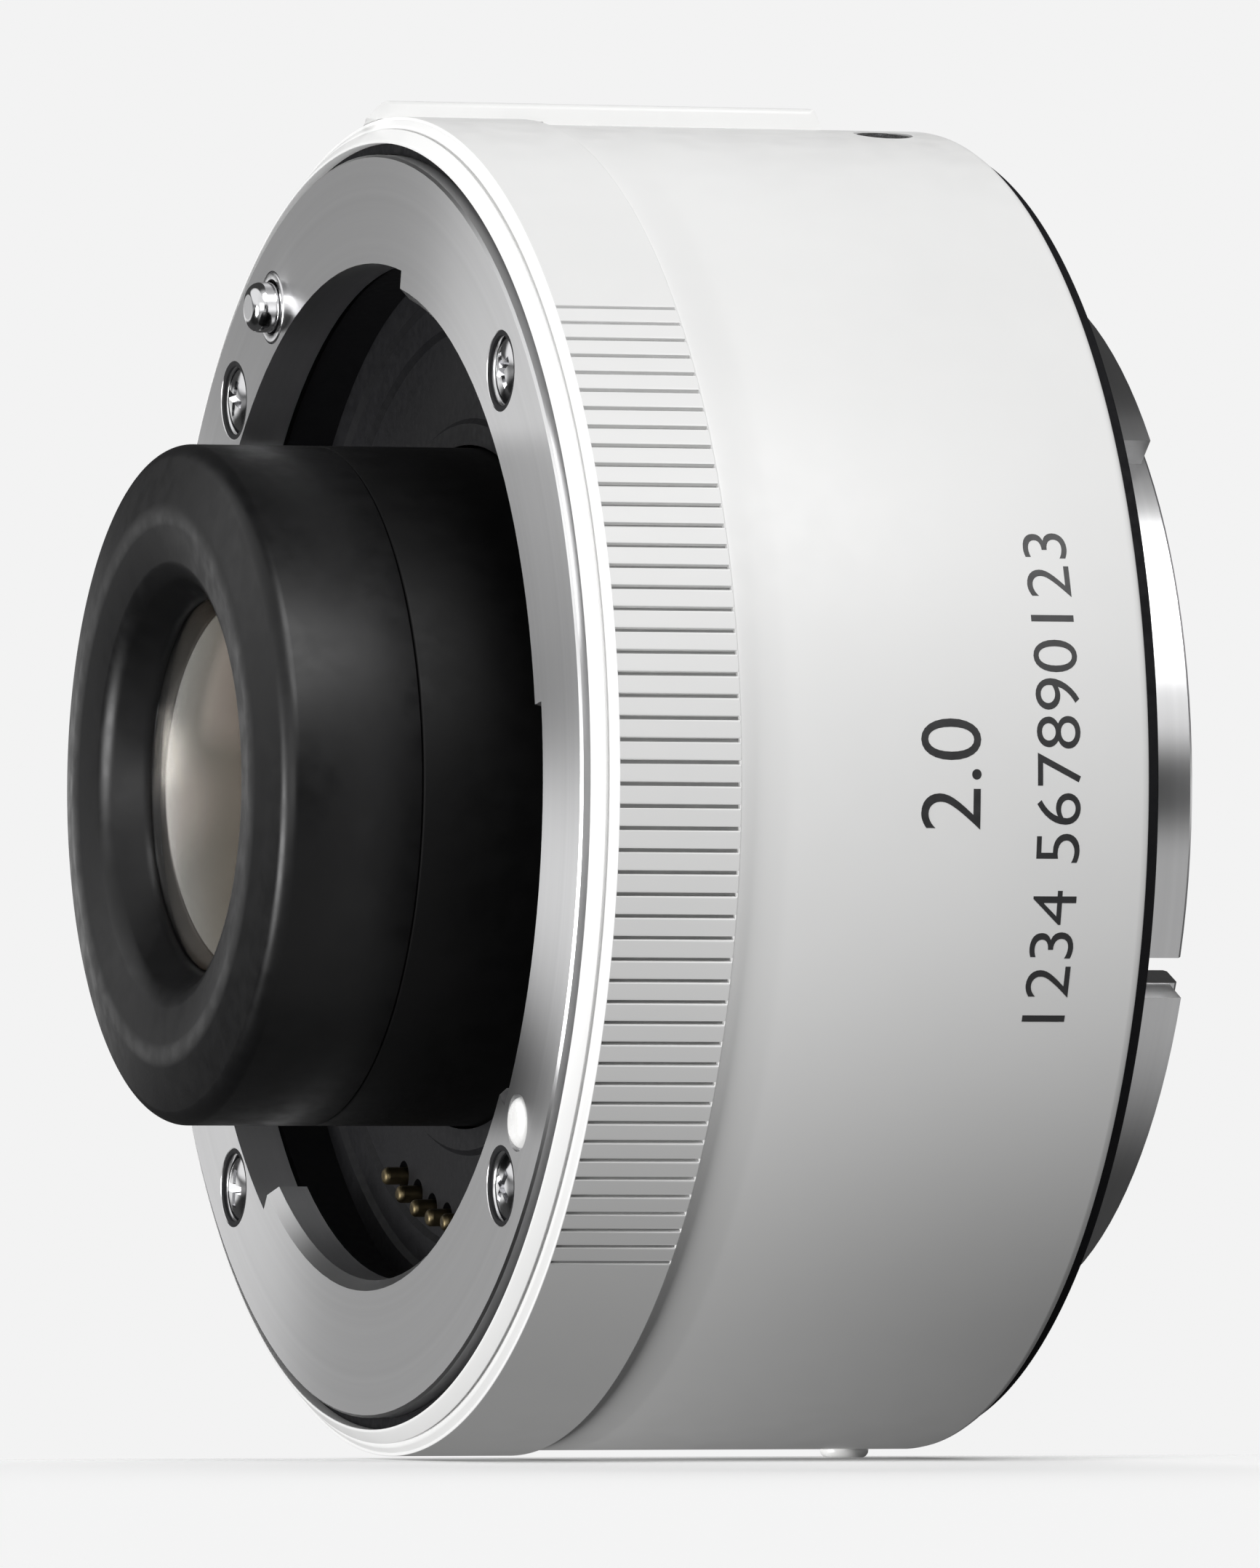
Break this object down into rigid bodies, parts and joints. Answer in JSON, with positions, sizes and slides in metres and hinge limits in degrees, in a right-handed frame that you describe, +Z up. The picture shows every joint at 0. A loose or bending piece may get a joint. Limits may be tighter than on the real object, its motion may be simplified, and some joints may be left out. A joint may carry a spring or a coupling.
{
  "type": "teleconverter",
  "caption": "Short white camera teleconverter: chrome bayonet mounts at both ends, a black optical nose through the front mount, a ribbed ring and a release slide on top.",
  "frame": {"origin": "centre of the camera-side mount face, on the optical axis", "axes": "+X along the optical axis towards the camera, -X towards the lens, +Z up towards the release slide, -Y the side that faces the viewer"},
  "size_m": [0.043, 0.0628, 0.0639],
  "materials": {
    "white_paint": "satin off-white paint",
    "satin_chrome": "satin chrome plate, turned",
    "steel": "bright steel",
    "black_metal": "matt black anodised",
    "black_plastic": "matt black",
    "frame_metal": "cast",
    "rubber": "black rubber",
    "mark_white": "gloss white",
    "optical_glass": "coated optical glass",
    "contact_gold": "gold plate",
    "board_green": "solder mask",
    "chip_black": "moulded package",
    "cable_amber": "amber film"
  },
  "bodies": {
    "converter": {"front_bezel": "white_paint", "grip_ring": "white_paint", "main_barrel": "white_paint", "front_mount_plate": "satin_chrome", "rear_mount": "satin_chrome", "front_mount_screws": "steel", "rear_mount_screws": "steel", "barrel_set_screws": "steel", "optics_screws": "steel", "board_screws": "steel", "lock_pin_spring": "steel", "release_spring": "steel", "contact_pin_springs": "steel", "mount_leaf_spring": "steel", "nose_cap": "black_metal", "nose_tube": "black_metal", "rear_lens_cell": "black_metal", "lens_spacer": "black_metal", "front_cell_retaining_ring": "black_metal", "middle_retaining_ring": "black_metal", "rear_retaining_ring": "black_metal", "throat_baffle": "black_plastic", "rear_baffle": "black_plastic", "front_contact_block": "black_plastic", "rear_contact_block": "black_plastic", "inner_frame": "frame_metal", "rear_seal": "rubber", "front_index_mark": "mark_white", "rear_index_bead": "mark_white", "lens_1_front": "optical_glass", "lens_2_doublet_front": "optical_glass", "lens_3_doublet_rear": "optical_glass", "lens_4_doublet_front": "optical_glass", "lens_5_doublet_rear": "optical_glass", "lens_6_doublet_front": "optical_glass", "lens_7_doublet_rear": "optical_glass", "lens_8_rear": "optical_glass", "rear_contact_pads": "contact_gold", "circuit_board": "board_green", "circuit_chips": "chip_black", "front_flat_cable": "cable_amber", "rear_flat_cable": "cable_amber"},
    "release": {"release_slide": "white_paint", "release_carriage": "steel", "slide_screws": "steel"},
    "lock_pin": {"lens_lock_pin": "steel"},
    "contact_pin_01": {"contact_pin_01": "contact_gold"},
    "contact_pin_02": {"contact_pin_02": "contact_gold"},
    "contact_pin_03": {"contact_pin_03": "contact_gold"},
    "contact_pin_04": {"contact_pin_04": "contact_gold"},
    "contact_pin_05": {"contact_pin_05": "contact_gold"},
    "contact_pin_06": {"contact_pin_06": "contact_gold"},
    "contact_pin_07": {"contact_pin_07": "contact_gold"},
    "contact_pin_08": {"contact_pin_08": "contact_gold"},
    "contact_pin_09": {"contact_pin_09": "contact_gold"},
    "contact_pin_10": {"contact_pin_10": "contact_gold"}
  },
  "joints": [
    {"name": "release_travel", "type": "slide", "parent": "converter", "child": "release", "axis": [1, 0, 0], "range_m": [0, 0.0018], "stiffness_N_per_m": 250, "springref_m": -0.004, "deforming": ["release_spring"]},
    {"name": "lock_pin_travel", "type": "slide", "parent": "converter", "child": "lock_pin", "axis": [1, 0, 0], "range_m": [0, 0.0018], "stiffness_N_per_m": 150, "springref_m": -0.004, "deforming": ["lock_pin_spring"]},
    {"name": "contact_pin_01_travel", "type": "slide", "parent": "converter", "child": "contact_pin_01", "axis": [1, 0, 0], "range_m": [0, 0.0007], "stiffness_N_per_m": 400, "springref_m": -0.0005, "deforming": ["contact_pin_springs"]},
    {"name": "contact_pin_02_travel", "type": "slide", "parent": "converter", "child": "contact_pin_02", "axis": [1, 0, 0], "range_m": [0, 0.0007], "stiffness_N_per_m": 400, "springref_m": -0.0005, "deforming": ["contact_pin_springs"]},
    {"name": "contact_pin_03_travel", "type": "slide", "parent": "converter", "child": "contact_pin_03", "axis": [1, 0, 0], "range_m": [0, 0.0007], "stiffness_N_per_m": 400, "springref_m": -0.0005, "deforming": ["contact_pin_springs"]},
    {"name": "contact_pin_04_travel", "type": "slide", "parent": "converter", "child": "contact_pin_04", "axis": [1, 0, 0], "range_m": [0, 0.0007], "stiffness_N_per_m": 400, "springref_m": -0.0005, "deforming": ["contact_pin_springs"]},
    {"name": "contact_pin_05_travel", "type": "slide", "parent": "converter", "child": "contact_pin_05", "axis": [1, 0, 0], "range_m": [0, 0.0007], "stiffness_N_per_m": 400, "springref_m": -0.0005, "deforming": ["contact_pin_springs"]},
    {"name": "contact_pin_06_travel", "type": "slide", "parent": "converter", "child": "contact_pin_06", "axis": [1, 0, 0], "range_m": [0, 0.0007], "stiffness_N_per_m": 400, "springref_m": -0.0005, "deforming": ["contact_pin_springs"]},
    {"name": "contact_pin_07_travel", "type": "slide", "parent": "converter", "child": "contact_pin_07", "axis": [1, 0, 0], "range_m": [0, 0.0007], "stiffness_N_per_m": 400, "springref_m": -0.0005, "deforming": ["contact_pin_springs"]},
    {"name": "contact_pin_08_travel", "type": "slide", "parent": "converter", "child": "contact_pin_08", "axis": [1, 0, 0], "range_m": [0, 0.0007], "stiffness_N_per_m": 400, "springref_m": -0.0005, "deforming": ["contact_pin_springs"]},
    {"name": "contact_pin_09_travel", "type": "slide", "parent": "converter", "child": "contact_pin_09", "axis": [1, 0, 0], "range_m": [0, 0.0007], "stiffness_N_per_m": 400, "springref_m": -0.0005, "deforming": ["contact_pin_springs"]},
    {"name": "contact_pin_10_travel", "type": "slide", "parent": "converter", "child": "contact_pin_10", "axis": [1, 0, 0], "range_m": [0, 0.0007], "stiffness_N_per_m": 400, "springref_m": -0.0005, "deforming": ["contact_pin_springs"]}
  ],
  "couplings": [
    {"joint": "lock_pin_travel", "follows": "release_travel", "ratio": 1}
  ]
}
